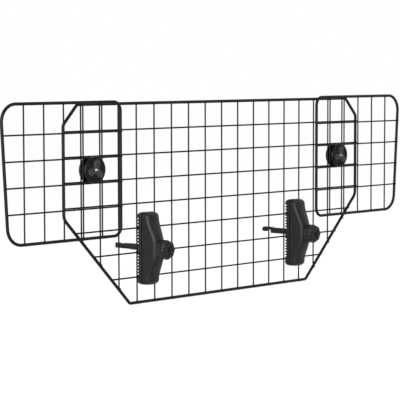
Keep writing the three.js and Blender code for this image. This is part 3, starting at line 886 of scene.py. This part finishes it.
def jaw_section(z, half, width, depth):
    """Half width behind, half width in front and depth of the jaw at a height."""
    sizes = bpy.context.scene.dog_guard_jaws
    from_end = half - abs(z)
    arch = smoothstep((from_end - sizes.arch_start) / (sizes.arch_end - sizes.arch_start))
    back = width / 2 - corner_inset(sizes.corner_round, from_end)
    front = back - sizes.draft - sizes.waist * arch
    arched = sizes.end_depth + (depth - sizes.end_depth) * arch
    return back, front, arched - corner_inset(sizes.end_round, from_end)


def jaw_heights(half, end_round):
    """Heights of the jaw's sections, close together at its rounded ends."""
    middle_steps = 44
    inner = half - end_round
    ends = [half - end_round * (1 - math.cos(t)) for t in quarter_turn(12)]
    middle = [inner * (1 - k / middle_steps) for k in range(1, middle_steps)]
    upper = ends + middle
    return [-z for z in upper] + [0.0] + upper[::-1]


def eased_corner(across, along, edge, way):
    """Three points that ease a corner of the jaw's section, whose body lies along way."""
    eased = 0.3 * edge
    return [
        (across - edge, along),
        (across - eased, along + way * eased),
        (across, along + way * edge),
    ]


def level_ring(half_outline, centre, z):
    """A closed ring at a height from the jaw's middle, from the right half of its outline."""
    right = [centre + Vector((u, v, z)) for u, v in half_outline]
    left = [centre + Vector((-u, v, z)) for u, v in reversed(half_outline)]
    return right + left


def jaw_housing(centre, half, width, depth):
    """The arched housing in front of the parting groove."""
    sizes = bpy.context.scene.dog_guard_jaws
    rear = -sizes.strip_depth - sizes.groove_width / 2
    rear_inset = 0.3 * MM
    edge = 0.7 * MM
    crown = 0.5 * MM
    crown_steps = 4
    widest_round_share = 0.85
    rings = []
    for z in jaw_heights(half, sizes.corner_round):
        back, front, deep = jaw_section(z, half, width, depth)
        side = min(sizes.front_round, widest_round_share * front, deep + rear - edge)
        flat = front - side
        outline = eased_corner(back - rear_inset, rear, edge, -1)
        for t in quarter_turn(10):
            outline.append((flat + side * math.cos(t), -deep + crown + side * (1 - math.sin(t))))
        for k in range(1, crown_steps):
            share = 1 - k / crown_steps
            outline.append((flat * share, -deep + crown * share ** 2))
        rings.append(level_ring(outline, centre, z))
    return skin(rings)


def jaw_core(centre, half, width):
    """The neck that shows at the bottom of the parting groove."""
    sizes = bpy.context.scene.dog_guard_jaws
    tall = half - sizes.groove_depth
    front = -sizes.strip_depth - sizes.groove_width
    back = -sizes.strip_depth + sizes.groove_width
    rings = []
    for z in jaw_heights(tall, sizes.corner_round):
        reach = width / 2 - sizes.groove_depth - corner_inset(sizes.corner_round, tall - abs(z))
        rings.append(level_ring([(reach, back), (reach, front)], centre, z))
    return skin(rings)


def notch_places(jaw_middle, half):
    """Heights of the notches from the jaw's middle, set out from the mesh so that its wires fit them."""
    sizes = bpy.context.scene.dog_guard_jaws
    wires = sorted(box_of(n)[2].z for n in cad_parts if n.startswith("centre_level_wire"))
    pitch = (wires[1] - wires[0]) / sizes.notches_per_cell
    count = int((wires[-1] - wires[0]) / pitch) + 1
    places = [wires[0] + i * pitch - jaw_middle for i in range(count)]
    return pitch, [p for p in places if abs(p) < half - sizes.tooth_margin]


def jaw_strip(centre, half, width):
    """The toothed strip that grips the mesh."""
    sizes = bpy.context.scene.dog_guard_jaws
    front = -sizes.strip_depth + sizes.groove_width / 2
    edge = 0.6 * MM
    bottom = 0.35 * MM
    pitch, places = notch_places(centre.z, half)
    notch = (pitch - sizes.tooth_land) / 2
    depths = {}
    for z in jaw_heights(half, sizes.corner_round):
        if z < places[0] - notch - bottom or z > places[-1] + notch + bottom:
            depths[z] = 0.0
    for z in places:
        depths[z] = sizes.tooth_depth
        for side in (-1, 1):
            depths[z + side * bottom] = sizes.tooth_depth - bottom
            depths[z + side * notch] = 0.0
    rings = []
    for z in sorted(depths):
        from_end = half - abs(z)
        back = -depths[z] - corner_inset(sizes.back_round, from_end)
        reach = width / 2 - corner_inset(sizes.corner_round, from_end)
        outline = eased_corner(reach, back, edge, -1) + eased_corner(reach, front, edge, 1)[::-1]
        rings.append(level_ring(outline, centre, z))
    return skin(rings)


def headrest_jaw(name):
    """The long moulded jaw with its serrated back, bored for the sleeve and, in front, for the bolt."""
    sizes = bpy.context.scene.dog_guard_jaws
    low, high, middle = box_of(f"{name}_jaw")
    centre = Vector((middle.x, high.y, middle.z))
    half = (high.z - low.z) / 2
    width = high.x - low.x - 2 * sizes.side_relief
    depth = high.y - low.y
    sleeve_low, sleeve_high, _ = box_of(f"{name}_guide_sleeve")
    clearance = bpy.context.scene.dog_guard_clamps.bolt_clearance
    sleeve_hole = (sleeve_high.x - sleeve_low.x) / 2 + clearance
    hook_draw = 20 * MM
    step = sleeve_low.y - high.y - hook_draw - clearance
    over = 4 * MM
    bore_sides = 32
    bore = turned([
        (0, over),
        (sleeve_hole, over),
        (sleeve_hole, step),
        (bolt_hole(), step),
        (bolt_hole(), -depth - over),
        (0, -depth - over),
    ], centre, bore_sides)
    solids = (
        jaw_housing(centre, half, width, depth),
        jaw_core(centre, half, width),
        jaw_strip(centre, half, width),
    )
    shells = [cut(solid, bore) for solid in solids]
    piece(f"{name}_serrated_jaw", shells, spark_eroded_glass_filled_nylon, sharp_angle=30,
          body=f"{name}_headrest_jaw", node=f"{name}_jaw")


def jaw_knob(name):
    """Barrel knob with shallow lobes, a full round front edge and a recess round the bolt's end."""
    sizes = bpy.context.scene.dog_guard_jaws
    low, high, middle = box_of(f"{name}_jaw_knob")
    radius = (high.x - low.x) / 2
    depth = high.y - low.y
    collar = 17 * MM
    collar_depth = 3 * MM
    recess = 9 * MM
    recess_depth = 2.5 * MM
    back_round = 1.5 * MM
    small = 0.6 * MM
    sides = 160
    profile = filleted([
        (bolt_hole(), 0),
        (collar, 0, small),
        (collar, -collar_depth, small),
        (radius, -collar_depth, back_round),
        (radius, -depth / 2),
        (radius, -depth, sizes.knob_front_round),
        (recess, -depth, 2 * small),
        (recess - small, recess_depth - depth, small),
        (bolt_hole(), recess_depth - depth),
    ])
    rim = recess + 2 * small
    face = radius - sizes.knob_front_round
    entries = []
    for p in profile:
        outside = smoothstep((p.x - collar) / small) if p.y > -depth / 2 else 0
        front = smoothstep((p.x - rim) / (face - rim)) if p.y <= -depth / 2 else 0
        entries.append((p.x, p.y, max(outside, front)))
    centre = Vector((middle.x, high.y, middle.z))
    shell = turned(entries, centre, sides, loop=True, lobes=8, lobe_depth=sizes.knob_lobe_depth)
    piece(f"{name}_lobed_knob", [shell], spark_eroded_glass_filled_nylon, sharp_angle=34,
          body=f"{name}_headrest_knob", node=f"{name}_jaw_knob")


class DOGGUARD_OT_headrest_jaws(bpy.types.Operator):
    """Build the serrated jaws and their knobs"""

    bl_idname = "dogguard.headrest_jaws"
    bl_label = "Headrest Jaws"

    def execute(self, context):
        for name in SIDES:
            headrest_jaw(name)
            jaw_knob(name)
        return {"FINISHED"}


def guide_sleeve(name):
    """Plastic tube that guides the hook bolt through the jaw."""
    low, high, middle = box_of(f"{name}_guide_sleeve")
    outer = (high.x - low.x) / 2
    edge = 0.7 * MM
    profile = filleted([
        (bolt_hole(), low.y, edge / 2),
        (outer, low.y, edge),
        (outer, high.y, edge),
        (bolt_hole(), high.y, edge / 2),
    ])
    shell = turned(profile, Vector((middle.x, 0, middle.z)), DISC_SIDES // 2, loop=True)
    piece(f"{name}_tube_sleeve", [shell], extruded_pvc, body=f"{name}_headrest_sleeve",
          node=f"{name}_guide_sleeve")


def hook_outline(shaft_start, seat_start, tip_end, radius):
    """Outline of the forged hook, as distance back and height."""
    neck_top = radius + 1.2 * MM
    seat = neck_top - 6 * MM
    seat_end = seat_start + 15 * MM
    neck_start = seat_start - 3.7 * MM
    tip_low = -3 * MM
    small = 1.2 * MM
    seat_round = 2.4 * MM
    neck_round = 4 * MM
    tip_round = 5.5 * MM
    return filleted([
        (shaft_start, -radius),
        (seat_start, -radius, small),
        (seat_start, seat, seat_round),
        (seat_end, seat, seat_round),
        (seat_end, tip_low, small),
        (tip_end, tip_low, neck_round),
        (tip_end, neck_top, tip_round),
        (seat_start, neck_top, neck_round),
        (neck_start, radius, neck_round),
        (shaft_start, radius),
    ])


def forged_hook(shaft_start, seat_start, tip_end, radius):
    """The flat forged hook with its edges rounded."""
    half = bpy.context.scene.dog_guard_jaws.hook_thickness / 2
    outline = hook_outline(shaft_start, seat_start, tip_end, radius)
    plate = piece("plate", [skin([[Vector((u, p.x, p.y)) for p in outline] for u in (-half, half)])])
    rounding = plate.modifiers.new("rounding", "BEVEL")
    rounding.width = 1.6 * MM
    rounding.segments = 4
    rounding.limit_method = "ANGLE"
    rounding.angle_limit = math.radians(60)
    return shell_of(plate)


def threaded_shank(front, shaft_start, seat_start, shaft):
    """The round shank, with a thread cut on its thinner front end."""
    thread = bpy.context.scene.dog_guard_clamps.bolt_diameter / 2
    thread_length = 12 * MM
    thread_pitch = 1.25 * MM
    thread_depth = 0.55 * MM
    lead_in = 0.5 * MM
    lead_in_depth = 0.9 * MM
    shoulder = 0.5 * MM
    end_edge = 0.8 * MM
    sides = 40
    profile = [(0, front), (thread - lead_in_depth, front)]
    along = front + lead_in
    while along < front + thread_length:
        profile += [(thread - thread_depth, along), (thread, along + thread_pitch / 2)]
        along += thread_pitch
    profile += [
        (thread, shaft_start),
        (shaft - shoulder, shaft_start),
        (shaft, shaft_start + shoulder),
        (shaft, seat_start - end_edge),
        (shaft - end_edge, seat_start),
        (0, seat_start),
    ]
    return turned(profile, Vector((0, 0, 0)), sides)


def hook_bolt(name, turn):
    """Forged hook on its round shank, turned about the bolt's axis."""
    low, high, _ = box_of(f"{name}_hook_bolt")
    _, sleeve_high, axis = box_of(f"{name}_guide_sleeve")
    gap = 0.3 * MM
    neck_length = 17 * MM
    shaft = 6 * MM
    shaft_start = sleeve_high.y + gap
    seat_start = sleeve_high.y + neck_length
    hook = forged_hook(shaft_start, seat_start, high.y, shaft)
    shank = threaded_shank(low.y, shaft_start, seat_start, shaft)
    place = Matrix.Translation((axis.x, 0, axis.z)) @ Matrix.Rotation(turn, 4, "Y")
    shells = [([place @ Vector(p) for p in points], faces) for points, faces in (hook, shank)]
    piece(f"{name}_forged_hook", shells, phosphated_forged_steel, sharp_angle=40,
          body=f"{name}_headrest_hook", node=f"{name}_hook_bolt")


class DOGGUARD_OT_hook_bolts(bpy.types.Operator):
    """Build the hook bolts and their guide sleeves"""

    bl_idname = "dogguard.hook_bolts"
    bl_label = "Hook Bolts"

    def execute(self, context):
        # The left hook lies on its side, and the right one opens down.
        turns = {"left": -math.pi / 2, "right": 0.0}
        for name in SIDES:
            guide_sleeve(name)
            hook_bolt(name, turns[name])
        return {"FINISHED"}


# stage


# Each lamp's place in metres, its width and height, and its power in watts.
LAMPS = {
    "left_strip_lamp": ((-2.1, 1.7, 0.6), (0.4, 2.0), 10),
    "front_key_lamp": ((-2.6, -1.4, 0.7), (1.5, 1.6), 95),
    "overhead_lamp": ((0.3, -0.6, 2.2), (2.0, 1.2), 8),
    "right_fill_lamp": ((2.2, -0.6, 0.9), (0.8, 1.4), 4),
}


def area_lamp(name, place, size, power):
    """A soft rectangular lamp that faces the guard."""
    aim = Vector((0, 0, 0.1))
    data = bpy.data.lights.new(name, "AREA")
    data.shape = "RECTANGLE"
    data.size, data.size_y = size
    data.energy = power
    lamp = bpy.data.objects.new(name, data)
    lamp.location = place
    lamp.rotation_mode = "QUATERNION"
    lamp.rotation_quaternion = (aim - Vector(place)).to_track_quat("-Z", "Y")
    bpy.context.scene.collection.objects.link(lamp)


def seen_directly(tree):
    """1 on rays from the camera, from a mirror-like surface or through glass, else 0."""
    path = add_node(tree, "ShaderNodeLightPath")
    either = add_node(
        tree, "ShaderNodeMath",
        {0: path.outputs["Is Camera Ray"], 1: path.outputs["Is Glossy Ray"]}, operation="MAXIMUM",
    )
    every = add_node(
        tree, "ShaderNodeMath",
        {0: either.outputs["Value"], 1: path.outputs["Is Transmission Ray"]}, operation="MAXIMUM",
    )
    return every.outputs["Value"]


def white_world():
    """A world that reads as white, and gives the object an even, low light."""
    even_light = 0.35
    world = bpy.data.worlds.new("white_studio")
    world.use_nodes = True
    tree = world.node_tree
    strength = add_node(
        tree, "ShaderNodeMapRange", {"Value": seen_directly(tree), "To Min": even_light, "To Max": 1.0}
    )
    fill(tree, tree.nodes["Background"], {"Color": (1, 1, 1, 1), "Strength": strength.outputs["Result"]})
    return world


def painted_floor():
    """Matt pale paint. Seen directly it glows nearly white, and still takes the object's shadow."""
    glow_strength = 1.15
    glow_share = 0.8
    material, tree, place = new_material("pale_painted_floor", Roughness=0.9, Specular_IOR_Level=0.0)
    shader = tree.nodes["Principled BSDF"]
    cloud = add_node(tree, "ShaderNodeTexNoise", {"Vector": place, "Scale": 1.5})
    paint = drifting_colour(tree, cloud.outputs["Fac"], bpy.context.scene.dog_guard_colours.floor, 0.01)
    fill(tree, shader, {"Base Color": paint})
    glow = add_node(tree, "ShaderNodeEmission", {"Color": (1, 1, 1, 1), "Strength": glow_strength})
    whiteness = add_node(
        tree, "ShaderNodeMath", {0: seen_directly(tree), 1: glow_share}, operation="MULTIPLY"
    )
    blend = add_node(
        tree, "ShaderNodeMixShader",
        {0: whiteness.outputs["Value"], 1: shader.outputs["BSDF"], 2: glow.outputs["Emission"]},
    )
    fill(tree, tree.nodes["Material Output"], {"Surface": blend.outputs["Shader"]})
    return material


def studio_floor():
    """A wide floor just under the guard."""
    reach = 12.0
    height = cad_box[0][2] - 0.5 * MM
    corners = [Vector((x * reach, y * reach, height)) for x, y in ((-1, -1), (1, -1), (1, 1), (-1, 1))]
    mesh = bpy.data.meshes.new("studio_floor")
    mesh.from_pydata(corners, [], [(0, 1, 2, 3)])
    mesh.materials.append(painted_floor())
    floor = bpy.data.objects.new("studio_floor", mesh)
    bpy.context.scene.collection.objects.link(floor)


def photo_camera():
    """A camera where the photographer stood."""
    data = bpy.data.cameras.new("photo_camera")
    data.sensor_width = 36
    data.lens = 152.87
    data.clip_end = 60
    camera = bpy.data.objects.new("photo_camera", data)
    camera.location = (-2.6155, -2.4854, 0.3689)
    forward = Vector((0.7136, 0.6961, -0.0787)).normalized()
    right = forward.cross(Vector((0, 0, 1))).normalized()
    up = right.cross(forward)
    roll = math.radians(-0.12)
    basis = Matrix((right, up, -forward)).transposed() @ Matrix.Rotation(roll, 3, "Z")
    camera.rotation_mode = "QUATERNION"
    camera.rotation_quaternion = basis.to_quaternion()
    bpy.context.scene.collection.objects.link(camera)
    return camera


class DOGGUARD_OT_stage(bpy.types.Operator):
    """Set up the white studio, its lamps and the camera"""

    bl_idname = "dogguard.stage"
    bl_label = "Studio"

    def execute(self, context):
        scene = context.scene
        scene.view_settings.view_transform = "Standard"
        scene.world = white_world()
        studio_floor()
        for name, (place, size, power) in LAMPS.items():
            area_lamp(name, place, size, power)
        scene.camera = photo_camera()
        return {"FINISHED"}


# add-on


class DOGGUARD_PT_sidebar(bpy.types.Panel):
    """Buttons and settings of the dog guard"""

    bl_label = "Dog Guard"
    bl_idname = "DOGGUARD_PT_sidebar"
    bl_space_type = "VIEW_3D"
    bl_region_type = "UI"
    bl_category = "Dog Guard"

    def draw(self, context):
        layout = self.layout
        for operator in OPERATORS:
            layout.operator(operator.bl_idname)
        for group in SETTINGS:
            settings = getattr(context.scene, group)
            box = layout.box()
            for name in settings.__annotations__:
                box.prop(settings, name)


SETTINGS = {
    "dog_guard_panels": DogGuardPanelSettings,
    "dog_guard_clamps": DogGuardClampSettings,
    "dog_guard_jaws": DogGuardJawSettings,
    "dog_guard_colours": DogGuardColours,
}
OPERATORS = (
    DOGGUARD_OT_stage,
    DOGGUARD_OT_centre_panel,
    DOGGUARD_OT_wings,
    DOGGUARD_OT_wing_clamps,
    DOGGUARD_OT_headrest_jaws,
    DOGGUARD_OT_hook_bolts,
)


def register():
    for kind in (*SETTINGS.values(), *OPERATORS, DOGGUARD_PT_sidebar):
        bpy.utils.register_class(kind)
    for name, kind in SETTINGS.items():
        setattr(bpy.types.Scene, name, bpy.props.PointerProperty(type=kind))


def unregister():
    for name in SETTINGS:
        delattr(bpy.types.Scene, name)
    for kind in (DOGGUARD_PT_sidebar, *reversed(OPERATORS), *reversed(SETTINGS.values())):
        bpy.utils.unregister_class(kind)


def main():
    register()
    bpy.ops.dogguard.stage()
    bpy.ops.dogguard.centre_panel()
    bpy.ops.dogguard.wings()
    bpy.ops.dogguard.wing_clamps()
    bpy.ops.dogguard.headrest_jaws()
    bpy.ops.dogguard.hook_bolts()


if __name__ == "__main__":
    main()
